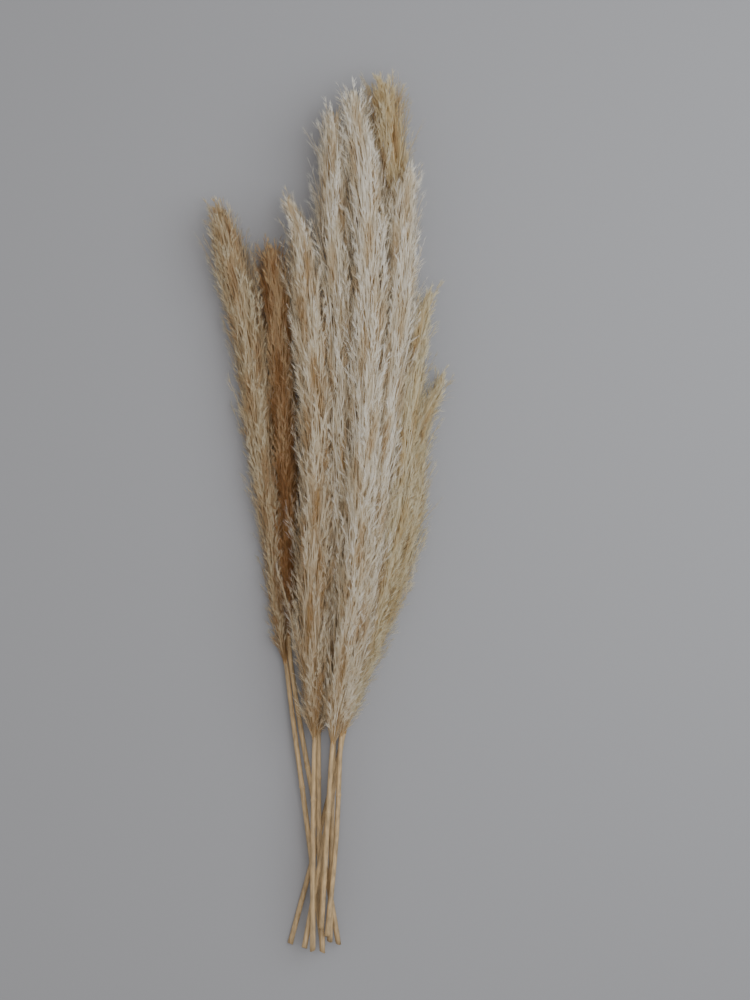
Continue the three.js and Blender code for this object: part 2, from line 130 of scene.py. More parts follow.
# Side of both lights, then place, target and colour of each, in metres.
LIGHT_SIZE = 1.2
KEY_LIGHT = ((0.85, 0.33, 1.05), (0, 0.05, 0), (0.92, 0.97, 1.0))
FILL_LIGHT = ((0.35, 0.0, 2.45), (0, 0, 0), (0.97, 0.97, 0.97))
# Colour of the even light from all sides.
SKY_COLOUR = (0.975, 0.955, 0.915, 1.0)
# Half side of the floor, height of the plumes' middle, and sensor of the camera.
FLOOR_HALF = 12000.0
PLUME_MIDDLE = 35.0
SENSOR_HEIGHT = 36.0

# "tone" names a plume's colours, and "seed" starts its random draws. "pale" makes its
# hair paler, or darker where it is below 0; on front_left and left_back this darkening
# is painted shade from the plumes on their right. "glow" is painted light and shade
# along the plume: it makes the hair darker below its middle and paler towards the tip.
# "crown" is how many more of its branchlets end near the tip, and "size" multiplies
# their number. "culm" is the pixel row of the stem's culm node.
# Rows of a head run from tip to base: pixel row, pixel column, height of the axis,
# half width, half height. Rows of a stem: pixel row, pixel column, height. Rows of
# the strays, if any: pixel row of the root, then row, column and height of the tip.
PLUMES = {
    "left": {
        "tone": "tan", "seed": 11, "pale": -0.04, "glow": 0.1, "crown": 1.8, "size": 0.92,
        "head": [
            (193, 216, 32, 5, 5), (205, 218, 30.5, 10, 10), (222, 222, 28, 16, 15),
            (240, 227, 26, 21, 18), (268, 232.5, 23, 22.5, 20), (300, 240, 20, 21.5, 21),
            (360, 251, 18.5, 20, 20), (420, 256.5, 17, 17, 18), (480, 264, 16, 14, 15),
            (540, 272, 15, 10.5, 12), (600, 276.5, 14, 8.5, 10), (640, 281, 13, 7.5, 8),
            (668, 285.5, 12, 5, 5),
        ],
        "stem": [(705, 290, 12), (825, 306, 11.6), (950, 322, 11)],
        "culm": 790,
        "strays": [(318, 239, 199, 27), (300, 229, 246, 24), (322, 246, 256, 22)],
    },
    "left_back": {
        "tone": "shaded", "seed": 23, "pale": -0.06, "glow": 0.8, "crown": 1.4, "size": 0.8,
        "head": [
            (233, 271, 24, 5, 5), (250, 271.5, 22, 15, 14), (275, 273.5, 19, 20, 18),
            (300, 277, 17.5, 19, 19), (360, 280, 17, 17, 18), (420, 283, 16, 16, 17),
            (480, 285, 15, 14.5, 16), (540, 286, 14, 12, 14), (590, 287, 13.5, 9, 11),
            (640, 288, 13, 5.5, 5.5),
        ],
        "stem": [(705, 296, 12.4), (825, 317, 12), (948, 338, 11.5)],
        "culm": 770,
    },
    "front_left": {
        "tone": "cream", "seed": 37, "pale": -0.17, "glow": 0.18, "crown": 0.8, "size": 1.05,
        "head": [
            (186, 286, 44, 4, 4), (205, 290, 46, 7.5, 8), (235, 301, 47, 14, 13),
            (270, 305, 47, 18.5, 18), (310, 308.5, 47, 21.5, 21), (360, 313, 47, 22, 23),
            (400, 316, 46.5, 22, 23), (450, 317, 45.5, 21.5, 23), (500, 317, 44, 21, 22),
            (550, 315, 42, 21, 21), (600, 313, 40, 21, 19), (650, 313, 38, 18.5, 16),
            (700, 315, 34.5, 15, 14), (742, 314.5, 33.5, 5.5, 5.5),
        ],
        "stem": [(825, 313, 32.6), (951, 312.5, 31)],
        "culm": 800,
        "strays": [
            (270, 205, 283, 47), (300, 228, 304, 66), (318, 261, 282, 50),
            (388, 336, 287, 52), (575, 512, 287, 40), (578, 515, 288, 43),
            (590, 528, 291, 34), (594, 531, 291, 40), (700, 565, 276, 39),
            (706, 567, 277, 42), (698, 571, 278, 44), (690, 582, 282, 44),
            (702, 592, 285, 43),
        ],
    },
    "front_middle": {
        "tone": "cream", "seed": 41, "pale": 0.02, "glow": 0.15, "crown": 1.6, "size": 1.05,
        "head": [
            (100, 332, 48, 6, 6), (116, 333, 47.5, 14, 12), (150, 334, 46.5, 21, 16),
            (200, 335, 45, 24.5, 20), (235, 335.5, 44.5, 26, 21), (270, 337.5, 44, 26, 22),
            (320, 340, 43, 26, 23), (380, 341, 42.5, 26, 23), (440, 342, 41.5, 25, 23),
            (500, 341, 39.5, 25, 22), (560, 338, 36, 24, 21), (620, 331, 30, 21, 18),
            (690, 322, 19.5, 16, 14), (738, 318, 16.5, 5.5, 5.5),
        ],
        "stem": [(825, 318.5, 17.8), (955, 322, 20)],
        "culm": 780,
        "strays": [(178, 138, 312, 38), (250, 191, 314, 40)],
    },
    "front_tall": {
        "tone": "cream", "seed": 53, "pale": 0.06, "glow": 0.15, "crown": 1.8, "size": 1.25,
        "head": [
            (81, 351, 53, 6, 6), (98, 353, 54, 13, 12), (130, 357, 54.5, 20, 17),
            (180, 365, 55, 26.5, 21), (240, 369, 55.5, 29, 23), (300, 370, 55.5, 28.5, 24),
            (360, 369, 55.5, 28, 24), (420, 367, 55.5, 27, 24), (480, 364, 54.5, 26, 23),
            (540, 359, 53, 24.5, 21), (600, 353, 50.5, 22.5, 19), (660, 343, 47, 19.5, 16),
            (705, 336, 44, 14, 12), (746, 332.5, 43.5, 5.5, 5.5),
        ],
        "stem": [(825, 327.5, 37.5), (930, 321, 29)],
        "culm": 812,
    },
    "back_tall": {
        "tone": "golden", "seed": 67, "pale": -0.03, "glow": 0, "crown": 4.5, "size": 1.1,
        "head": [
            (70, 379, 34, 10, 8), (77, 380.5, 34, 18, 14), (90, 383.5, 34, 22.5, 19),
            (115, 386.5, 34, 23.5, 21), (150, 390, 33, 23, 21), (190, 394, 31, 22, 21),
            (230, 396, 28, 21, 22), (280, 394, 24, 21, 22), (340, 388, 21, 21, 22),
            (400, 381, 20, 20, 21), (460, 374, 19, 19, 20), (520, 366, 18, 17, 18),
            (580, 357, 16, 15, 16), (640, 347, 14.5, 13, 14), (700, 337, 13.5, 11, 12),
            (736, 333.5, 13.5, 5.5, 5.5),
        ],
        "stem": [(825, 331.5, 15.6), (944, 329.5, 19)],
        "culm": 765,
    },
    "front_right": {
        "tone": "cream", "seed": 71, "pale": 0.1, "glow": 0, "crown": 0.9, "size": 1.0,
        "head": [
            (160, 414, 52, 5, 5), (180, 408, 52, 12.5, 12), (215, 403, 51.5, 19.5, 17),
            (250, 401.5, 51, 20.5, 18), (300, 400, 50.5, 20.5, 19), (350, 396, 50, 20, 20),
            (400, 390, 49.5, 19, 20), (450, 384, 49, 19, 20), (500, 378, 47.5, 19, 19),
            (550, 371, 46, 18, 18), (600, 364, 44, 16, 16), (650, 356, 42, 14, 14),
            (700, 346, 39.5, 11, 10), (738, 341, 38, 5.5, 5.5),
        ],
        "stem": [(825, 337, 34), (938, 327, 27)],
        "culm": 795,
        "strays": [(225, 178, 420, 56)],
    },
    "right_back": {
        "tone": "golden", "seed": 84, "pale": 0.13, "glow": 0, "crown": 0.6, "size": 0.9,
        "head": [
            (278, 437, 37, 3.5, 3.5), (300, 427, 38, 8, 8), (345, 416, 40, 14.5, 14.5),
            (400, 409, 40, 17.5, 18), (450, 404.5, 39.5, 18, 18), (500, 399, 38, 18, 18),
            (550, 391, 36, 17, 17), (600, 381, 33, 15, 15), (650, 365, 28.5, 12, 12),
            (700, 349, 26, 10, 9), (736, 343, 25.5, 5.5, 5.5),
        ],
        "stem": [(825, 327, 25.4), (950, 304, 25)],
        "culm": 775,
        "strays": [(322, 282, 443, 38)],
    },
    "right_low": {
        "tone": "golden", "seed": 97, "pale": 0.09, "glow": 0, "crown": 0.6, "size": 0.85,
        "head": [
            (360, 448, 28, 3.5, 3.5), (380, 441, 27.5, 5.5, 5.5), (400, 432, 26, 9, 9),
            (425, 421, 24.5, 12.5, 14), (460, 413.5, 22.5, 15.5, 18),
            (500, 410, 22, 17.5, 20), (540, 404, 21, 18, 19), (580, 393.5, 19, 17, 17),
            (620, 380.5, 15.5, 14, 14), (660, 366, 11.5, 11.5, 12),
            (695, 353.5, 9.5, 10, 10), (728, 345.5, 8.3, 5.5, 5.5),
        ],
        "stem": [(825, 322, 6), (950, 289, 3)],
        "culm": 785,
        "strays": [(545, 503, 438, 20), (610, 566, 417, 20)],
    },
}

# Colours of each kind of plume, as sRGB hex: deep inside, body, outside, hair tips.
# The shaded colours are painted shade: darker, warmer copies of the plume colours for
# the plume that lies in the shade of the plumes beside it.
TONES = {
    "cream": ("#d0b072", "#eee5d1", "#fbf9f4", "#fdfdfb"),
    "golden": ("#c8a25c", "#e8dab5", "#f2eddc", "#f8f6ed"),
    "tan": ("#bf955a", "#e2d0ac", "#eee8d7", "#f5f2e8"),
    "shaded": ("#b27d43", "#d0a66e", "#e6d3b0", "#ecdcc0"),
}

LengthProperty = partial(FloatProperty, subtype="DISTANCE", unit="LENGTH")


class PlumeSettings(bpy.types.PropertyGroup):
    """Numbers and sizes of the hair on the feathery heads."""

    branchlets: IntProperty(
        name="Branchlets", description="Branchlets on a head of average size",
        default=330, min=20, max=500,
    )
    twigs: IntProperty(
        name="Side twigs", description="Side twigs of one branchlet", default=9, min=2, max=40,
    )
    hairs: IntProperty(
        name="Hairs", description="Hairs on one side twig", default=8, min=2, max=60,
    )
    down: IntProperty(
        name="Down", description="Blades of down inside a head of average size",
        default=4800, min=0, max=9000,
    )
    branchlet_length: LengthProperty(
        name="Branchlet length", description="Length in the lower half of a head",
        default=0.082, min=0.03, max=0.3,
    )
    twig_length: LengthProperty(
        name="Twig length", description="Length of side twigs near a branchlet's foot",
        default=0.016, min=0.002, max=0.06,
    )
    hair_length: LengthProperty(
        name="Hair length", description="Length of the longest hairs",
        default=0.0135, min=0.002, max=0.04,
    )
    hair_width: LengthProperty(
        name="Hair width", description="Width of a hair at its widest",
        default=0.00047, min=0.0002, max=0.003,
    )


class StemSettings(bpy.types.PropertyGroup):
    """Roundness and colour of the reed stems."""

    sides: IntProperty(
        name="Sides", description="Faces round a stem", default=20, min=6, max=64,
    )
    colour: FloatVectorProperty(
        name="Reed colour", description="Colour of the dry stems", subtype="COLOR",
        default=(0.42, 0.29, 0.15), min=0.0, max=1.0,
    )


class StageSettings(bpy.types.PropertyGroup):
    """Camera and light."""

    distance: LengthProperty(
        name="Camera height", description="Height of the camera above the plumes",
        default=2.2, min=0.5, max=10.0,
    )
    key: FloatProperty(
        name="Key light", description="Power of the soft light from the right",
        default=10.8, min=0.0, max=1000.0, unit="POWER",
    )
    fill: FloatProperty(
        name="Fill light", description="Power of the soft light from above",
        default=22.0, min=0.0, max=1000.0, unit="POWER",
    )
    sky: FloatProperty(
        name="Ambient light", description="Strength of the even light from all sides",
        default=0.56, min=0.0, max=5.0,
    )


def linear(hex_colour):
    """Linear red, green and blue of an sRGB hex value, by the standard curve."""
    parts = np.array([int(hex_colour[i : i + 2], 16) for i in (1, 3, 5)]) / 255
    low = parts / 12.92
    high = ((parts + 0.055) / 1.055) ** 2.4
    return tuple(float(x) for x in np.where(parts <= 0.04045, low, high)) + (1.0,)


def add_node(tree, kind, inputs=None, stops=None, **settings):
    """Add a node, set its attributes and colour stops, then fill or link its inputs."""
    node = tree.nodes.new(kind)
    for key, value in settings.items():
        setattr(node, key, value)
    for i, (place, colour) in enumerate(stops or ()):
        elements = node.color_ramp.elements
        stop = elements[i] if i < len(elements) else elements.new(place)
        stop.position = place
        stop.color = colour
    for key, value in (inputs or {}).items():
        if isinstance(value, bpy.types.NodeSocket):
            tree.links.new(value, node.inputs[key])
        else:
            node.inputs[key].default_value = value
    return node


def empty_material(name):
    """A material with an empty node tree."""
    material = bpy.data.materials.new(name)
    material.use_nodes = True
    material.node_tree.nodes.clear()
    return material


def along(rows, column, y):
    """A column at heights y, on a smooth curve through the rows without overshoot.

    Each row's slope is the harmonic mean of the slopes beside it, or 0 at a turn, and
    the usual cubic with these slopes runs from row to row.
    """
    at = rows[:, 0]
    value = rows[:, column]
    step = np.diff(value) / np.diff(at)
    product = step[:-1] * step[1:]
    total = np.where(product > 0, step[:-1] + step[1:], 1.0)
    middle = np.where(product > 0, 2 * product / total, 0.0)
    slope = np.concatenate([step[:1], middle, step[-1:]])
    i = np.clip(np.searchsorted(at, y) - 1, 0, len(at) - 2)
    span = at[i + 1] - at[i]
    t = np.clip((y - at[i]) / span, 0, 1)
    leave = slope[i] * span * (t**3 - 2 * t**2 + t)
    arrive = slope[i + 1] * span * (t**3 - t**2)
    ends = value[i] * (2 * t**3 - 3 * t**2 + 1) + value[i + 1] * (3 * t**2 - 2 * t**3)
    return ends + leave + arrive


class Plume:
    """One plume: its axis, its ellipse at each height, and its free radius."""

    def __init__(self, name):
        self.name = name
        self.data = PLUMES[name]
        share = STEM_END_RADIUS + STEM_SPACE
        stem = [row + (share, share) for row in self.data["stem"]]
        rows = np.array(self.data["head"] + stem, float)[::-1]
        y = (ORIGIN_V - rows[:, 0]) * MM_PER_PIXEL
        x = (rows[:, 1] - ORIGIN_U) * MM_PER_PIXEL
        # Columns y, x, z, half width and half height in millimetres, y rising.
        self.rows = np.column_stack([y, x, rows[:, 2:]])
        self.end, self.base, self.tip = y[0], y[len(stem)], y[-1]
        self.stations = np.arange(self.base - SHARE_STEP, self.tip + TIP_FADE, SHARE_STEP)
        self.free = None

    def section(self, y):
        """Centre x and z and half axes at heights y, on smooth curves through the rows.

        Beyond the tip x goes on in a straight line, z stays, and the half axes fall
        evenly to 0.
        """
        top, lower = self.rows[-1], self.rows[-2]
        beyond = np.maximum(0, y - self.tip)
        lean = (top[1] - lower[1]) / (top[0] - lower[0])
        fade = np.maximum(0, 1 - beyond / TIP_FADE)
        x, z, width, height = (along(self.rows, column, y) for column in range(1, 5))
        return x + lean * beyond, z, width * fade, height * fade

    def in_half_axes(self, x, y, z):
        """Distance of places from the axis, measured in half axes."""
        x0, z0, width, height = self.section(y)
        width, height = np.maximum(width, LEAST_SHARE), np.maximum(height, LEAST_SHARE)
        return np.hypot((x - x0) / width, (z - z0) / height)

    def share_out(self, plumes):
        """Free radius for each station and angle.

        A point belongs to the plume whose axis is nearest in half axes. The free radius
        is the distance from the axis at which another plume is nearer in this sense.
        """
        angle = np.arange(SHARE_ANGLES) * 2 * np.pi / SHARE_ANGLES
        y = self.stations[:, None, None]
        r = SHARE_RADII[None, None, :]
        x0, z0, _, _ = self.section(y)
        x = x0 + r * np.cos(angle)[None, :, None]
        z = z0 + r * np.sin(angle)[None, :, None]
        mine = self.in_half_axes(x, y, z)
        inside = np.ones(mine.shape, bool)
        for other in plumes:
            there = (y >= other.end - SHARE_STEP) & (y < other.tip + TIP_FADE - 1)
            if other is not self:
                inside &= (other.in_half_axes(x, y, z) >= mine) | ~there
        inside &= z > 0
        first_out = np.where(inside.all(2), len(SHARE_RADII) - 1, inside.argmin(2))
        self.free = SHARE_RADII[first_out]

    def free_radius(self, y, angle):
        """The free radius at any height and angle, linear between stations and angles."""
        row = np.clip((y - self.stations[0]) / SHARE_STEP, 0, len(self.stations) - 1.001)
        turn = (angle / (2 * np.pi) % 1) * SHARE_ANGLES
        i, j = row.astype(int), turn.astype(int) % SHARE_ANGLES
        f, g = row - i, turn - np.floor(turn)
        k = (j + 1) % SHARE_ANGLES
        low = self.free[i, j] * (1 - g) + self.free[i, k] * g
        high = self.free[i + 1, j] * (1 - g) + self.free[i + 1, k] * g
        return low * (1 - f) + high * f


def branchlet_point(plume, b, t):
    """Point at part t of branchlets b, in millimetres.

    The point rises along the plume by the branchlet's length times t. Its distance
    from the axis is "radius" times a climb from near 0 to 1, faster at first, and
    "extra" times t to the power 2.5. Near another plume it is held back, by a sum of
    inverse fifth powers, to the free radius and MINGLE times t.
    """
    y = b["root"] + b["length"] * t
    angle = b["angle"] + b["twist"] * t + b["wave"] * np.sin(5 * t + b["phase"])
    x0, z0, _, _ = plume.section(y)
    climb = 0.05 + 0.95 * (1 - np.maximum(0, 1 - t) ** b["bend"])
    wanted = b["radius"] * climb + b["extra"] * t**2.5
    free = plume.free_radius(y, angle) + MINGLE * t
    held = (wanted**-5.0 + np.maximum(free, 0.8) ** -5.0) ** -0.2
    x = x0 + held * np.cos(angle)
    z = z0 + held * np.sin(angle)
    return np.stack([x, y, above_floor(z)], -1)


def above_floor(z):
    """Heights kept above the surface: below FLOOR_NEAR they close in on FLOOR_GAP."""
    room = FLOOR_NEAR - FLOOR_GAP
    pressed = FLOOR_GAP + room * np.exp(np.minimum(z - FLOOR_NEAR, 0) / room)
    return np.where(z < FLOOR_NEAR, pressed, z)


def ellipse_radius(plume, y, angle):
    """Radius of the plume's ellipse at heights y in the directions angle.

    It is one over the length of the direction, measured in half axes.
    """
    _, _, width, height = plume.section(y)
    width, height = np.maximum(width, LEAST_RADIUS), np.maximum(height, LEAST_RADIUS)
    return 1 / np.hypot(np.cos(angle) / width, np.sin(angle) / height)


def hollows(plume, angle, y):
    """How far a place lies in a hollow between sprays, from 0 to 1.

    Waves run slanting round the plume, and the hollows are where their sum is below
    zero. They close towards the plume's tip.
    """
    phase = plume.data["seed"]
    waves = sum(
        strength * np.sin(number * angle + y / length + share * phase)
        for number, length, share, strength in HOLLOW_WAVES
    )
    return np.clip(-waves / 1.6, 0, 1) * np.clip((plume.tip - y) / 45, 0, 1)


def plan_branchlets(plume, settings, rng):
    """Root, length, angle and shape of every branchlet of a plume, as arrays.

    The tips are spread evenly over the head's surface, with more of them near its tip,
    so that it closes in a soft dome. A branchlet's root lies its own length below its
    tip, on the axis, and this length falls towards the head's tip. Its tip lies a
    random part of the way out to the ellipse, less far in the hollows between sprays.
    A few stand out past the ellipse, least of all those that point up.
    """
    count = int(settings.branchlets * plume.data["size"])
    y = np.linspace(plume.base + 22, plume.tip - 4, SPREAD_STEPS)
    _, _, width, height = plume.section(y)
    crown = 1 + plume.data["crown"] * np.exp((y - plume.tip) / 24)
    share = np.cumsum((width + height + 6) * crown)
    part = (np.arange(count) + rng.uniform(0, 1, count)) / count
    tip = np.interp(part, share / share[-1], y)
    wanted = settings.branchlet_length * 1000 * rng.uniform(0.75, 1.2, count)
    wanted *= 1 - 0.36 * part**3
    length = np.minimum(wanted, tip - plume.base - 1)
    twist = rng.normal(0, 0.2, count)
    angle = np.arange(count) * GOLDEN_ANGLE + rng.uniform(-0.25, 0.25, count)
    # The nearer to the tip, the more of them end inside, so that the dome is full.
    inner = 0.6 * (1 - np.exp((tip - plume.tip) / 14))
    reach = inner + (1.06 - inner) * rng.uniform(0, 1, count) ** 0.6
    reach *= 1 - HOLLOW_DEPTH * hollows(plume, angle + twist, tip)
    reach = np.maximum(0.05, reach)
    extra = STAND_OFF * rng.uniform(0, 1, count) ** 3
    extra *= 1 - 0.5 * np.maximum(0, np.sin(angle + twist))
    return {
        "root": tip - length,
        "length": length,
        "angle": angle,
        "twist": twist,
        "wave": rng.normal(0, 0.05, count),
        "phase": rng.uniform(0, 6.28, count),
        "bend": rng.uniform(1.0, 1.7, count),
        "radius": ellipse_radius(plume, tip, angle + twist) * reach,
        "extra": extra,
        "fluff": rng.uniform(0.75, 1.25, count),
        "tone": rng.uniform(-0.04, 0.04, count),
    }


def add_strays(plume, plan):
    """Append the plume's stray branchlets, pale ones whose ends stand off from it."""
    for root_v, tip_v, tip_u, tip_z in plume.data.get("strays", ()):
        root = (ORIGIN_V - root_v) * MM_PER_PIXEL
        tip = (ORIGIN_V - tip_v) * MM_PER_PIXEL
        x0, z0, _, _ = plume.section(np.array(tip))
        dx = (tip_u - ORIGIN_U) * MM_PER_PIXEL - x0
        dz = tip_z - z0
        angle = math.atan2(dz, dx)
        radius = float(ellipse_radius(plume, np.array(tip), angle))
        stray = {
            "root": root, "length": tip - root, "angle": angle, "twist": 0.0,
            "wave": 0.0, "phase": 0.0, "bend": 1.6, "radius": radius,
            "extra": max(0.0, math.hypot(dx, dz) - radius), "fluff": 0.8, "tone": 0.25,
        }
        for key, value in stray.items():
            plan[key] = np.append(plan[key], value)
    return plan


def unit(vectors):
    """The vectors at length one."""
    return vectors / np.maximum(np.linalg.norm(vectors, axis=-1, keepdims=True), 1e-9)


def square_to(vectors, way):
    """The part of the vectors that is square to the unit vectors way, at length one."""
    return unit(vectors - (vectors * way).sum(-1, keepdims=True) * way)


def side_directions(tangent):
    """Two unit directions square to each tangent and to each other.

    The first is the cross product of tangent and up, and the second that of the first
    and the tangent.
    """
    side = unit(np.cross(tangent, (0.0, 0.0, 1.0)))
    return side, unit(np.cross(side, tangent))


def closed_tube(grid, foot, head):
    """Points and faces of a tube through a grid of rings and sides, with closed ends.

    Two triangles join each side of a ring to the next ring, and a fan joins the first
    ring to the point foot and the last ring to the point head.
    """
    rings, sides = grid.shape[:2]
    i = np.arange(rings - 1)[:, None] * sides
    k = np.arange(sides)
    after = (k + 1) % sides
    low, low_next = i + k, i + after
    high, high_next = low + sides, low_next + sides
    last = (rings - 1) * sides
    centre = np.full(sides, rings * sides)
    faces = [
        np.stack([low, high_next, low_next], -1).reshape(-1, 3),
        np.stack([low, high, high_next], -1).reshape(-1, 3),
        np.stack([k, after, centre], -1),
        np.stack([last + after, last + k, centre + 1], -1),
    ]
    points = np.concatenate([grid.reshape(-1, 3), np.stack([foot, head])])
    return points, np.concatenate(faces)


def grow_stalks(plume, plan, rings=3):
    """Three-sided stalks along the branchlets, from 1 mm to 0.3 mm, with closed ends.

    Ring j of stalk i is a triangle round the branchlet's point at part j of its length.
    """
    t = np.linspace(0, 1, rings)[None, :]
    b = {key: value[:, None] for key, value in plan.items()}
    middle = branchlet_point(plume, b, t)
    ahead = branchlet_point(plume, b, np.minimum(t + STALK_STEP, 1.0))
    behind = branchlet_point(plume, b, np.maximum(t - STALK_STEP, 0.0))
    side, other = side_directions(unit(ahead - behind))
    radius = (0.5 - 0.35 * t)[..., None, None]
    turn = np.arange(3)[:, None] * 2 * np.pi / 3
    offset = np.cos(turn) * side[:, :, None] + np.sin(turn) * other[:, :, None]
    points = middle[:, :, None] + radius * offset
    count = len(plan["root"])
    ring = np.arange(count * rings).reshape(count, rings)[:, :-1, None] * 3
    k = np.arange(3)
    low, low_next = ring + k, ring + (k + 1) % 3
    start = np.arange(count)[:, None] * rings * 3
    faces = [
        np.stack([low, low_next, low_next + 3], -1).reshape(-1, 3),
        np.stack([low, low_next + 3, low + 3], -1).reshape(-1, 3),
        start + np.array([0, 2, 1]),
        start + (rings - 1) * 3 + np.array([0, 1, 2]),
    ]
    tone = np.broadcast_to((0.12 + 0.25 * t)[..., None], points.shape[:-1])
    grain = np.broadcast_to((0.05 + 0.3 * t)[..., None], points.shape[:-1])
    return points.reshape(-1, 3), np.concatenate(faces), tone.ravel(), grain.ravel()


def base_shade(plume, y):
    """How much darker the hair is towards the foot of the head.

    At the foot it is the darkest, and this fades out at 0.45 of the head's length: painted
    shade. A plume's glow makes it darker below its middle and paler above, as painted
    shade and light along the plume.
    """
    up = (y - plume.base) / (plume.tip - plume.base)
    shade = FOOT_SHADE * np.clip(1 - up / 0.45, 0, 1)
    return shade - plume.data["glow"] * (up - 0.5)


def blades(root, tip, middle, face, width, tone, grain):
    """Slim pointed blades: a straight ridge from root to tip over two side corners.

    The side corners stand at "middle", half a width to each side and an eighth of a
    width below it, so that each blade is a flat closed body of four faces. Tone and
    grain are the same for a blade or differ for its root, sides and tip.
    """
    across = np.cross(face, unit(tip - root))
    low = middle - face * (0.12 * width)[:, None]
    half = across * (0.5 * width)[:, None]
    points = np.stack([root, low + half, low - half, tip], 1)
    points[..., 2] = above_floor(points[..., 2])
    start = np.arange(len(root))[:, None, None] * 4
    faces = start + np.array([[0, 2, 3], [0, 3, 1], [0, 1, 2], [3, 2, 1]])
    tone, grain = (np.broadcast_to(part, points.shape[:2]) for part in (tone, grain))
    return points.reshape(-1, 3), faces.reshape(-1, 3), tone.ravel(), grain.ravel()


def plan_twigs(plume, plan, settings, rng):
    """Side twigs of the branchlets: foot, direction, length, and what they grow from.

    A twig leaves its branchlet at a small angle, mostly away from the plume's axis.
    The nearer it stands to the branchlet's tip, the shorter and straighter it is.
    """
    count = len(plan["root"])
    weight = np.clip(plan["length"] / (settings.branchlet_length * 1000), 0.3, 1.3)
    # Twigs that point at the ground are hidden, so there are fewer of them.
    weight *= 0.82 + 0.32 * np.tanh(2 * np.sin(plan["angle"] + plan["twist"]) + 0.6)
    number = np.maximum(3, np.round(settings.twigs * weight)).astype(int)
    owner = np.repeat(np.arange(count), number)
    total = len(owner)
    place = np.arange(total) - np.repeat(np.cumsum(number) - number, number)
    part = (place + rng.uniform(0, 1, total)) / number[owner]
    t = 0.14 + 0.86 * part**0.75
    b = {key: value[owner] for key, value in plan.items()}
    foot = branchlet_point(plume, b, t)
    before = branchlet_point(plume, b, t - TWIG_STEP)
    after = branchlet_point(plume, b, t + TWIG_STEP)
    tangent = unit(after - before)
    out = outwards(plume, foot, tangent)
    side = np.cross(tangent, out)
    turn = rng.normal(0, 1.3, total)[:, None]
    away = np.cos(turn) * out + np.sin(turn) * side
    lean = np.radians(rng.uniform(12, 42, total)) * (1.1 - 0.65 * t) * b["fluff"]
    heading = unit(np.cos(lean)[:, None] * tangent + np.sin(lean)[:, None] * away)
    length = settings.twig_length * 1000 * (1.2 - 0.75 * t) * rng.uniform(0.6, 1.3, total)
    # Towards the head's tip the twigs are short, so that it ends in a close brush.
    length *= np.clip((plume.tip + 6 - foot[:, 1]) / 45, 0.3, 1)
    tone = b["tone"] + rng.normal(0, 0.02, total)
    return {
        "foot": foot, "heading": heading, "length": length, "out": out, "tone": tone, "t": t,
    }


def outwards(plume, place, tangent):
    """Directions square to the tangents, away from the plume's axis and a little up."""
    x0, z0, _, _ = plume.section(place[:, 1])
    out = np.stack([place[:, 0] - x0, np.full(len(place), 2.0), place[:, 2] - z0], -1)
    return square_to(out, tangent)


def hair_tone(plume, place):
    """Tone of the hair at a place: golden inside the head, pale at its outside.

    It rises with a power of the depth, which is 0 on the axis and 1 from 0.86 of the
    ellipse's radius outwards. It is lower in the hollows, beside a neighbour and
    towards the foot of the head, and that lowering is painted shade.
    """
    x, y, z = place.T
    x0, z0, _, _ = plume.section(y)
    distance = np.hypot(x - x0, z - z0)
    angle = np.arctan2(z - z0, x - x0)
    around = ellipse_radius(plume, y, angle)
    # Beside a neighbour, hair at the border counts as a little further out.
    room = np.minimum(around, 2.0 + plume.free_radius(y, angle))
    depth = distance / (0.8 * around + 0.2 * room) / 0.86
    # The end of the plume is its outside too.
    depth = np.clip(np.maximum(depth, 0.8 + (y - plume.tip) / 45), 0, 1)
    # The plume's paleness, less painted shade at the foot and along the plume by its glow.
    shift = plume.data["pale"] - base_shade(plume, y)
    # Painted shade beside a neighbour.
    shift -= CROWD_SHADE * crowd(plume, y, angle)
    tone = TONE_INSIDE + TONE_RISE * depth**TONE_POWER + shift
    return tone - HOLLOW_SHADE * hollows(plume, angle, y)


def crowd(plume, y, angle):
    """How close a neighbour stands, from 0 to 1.

    It is 1 where the free radius is 0.85 of the ellipse's radius or less, and falls
    evenly to 0 where it is 1.25 of it.
    """
    part = plume.free_radius(y, angle) / ellipse_radius(plume, y, angle)
    return np.clip((1.25 - part) / 0.4, 0, 1)


def grow_twigs(plume, twigs):
    """The side twigs themselves: a slim blade from each foot to the twig's end."""
    foot = twigs["foot"]
    end = foot + twigs["heading"] * twigs["length"][:, None]
    middle = 0.6 * foot + 0.4 * end
    face = square_to(twigs["out"], twigs["heading"])
    width = np.full(len(end), TWIG_WIDTH)
    tone = hair_tone(plume, foot) + twigs["tone"] - 0.06
    tone = np.clip(tone, LEAST_TONE, GREATEST_TONE)[:, None]
    return blades(foot, end, middle, face, width, tone, TWIG_GRAIN)


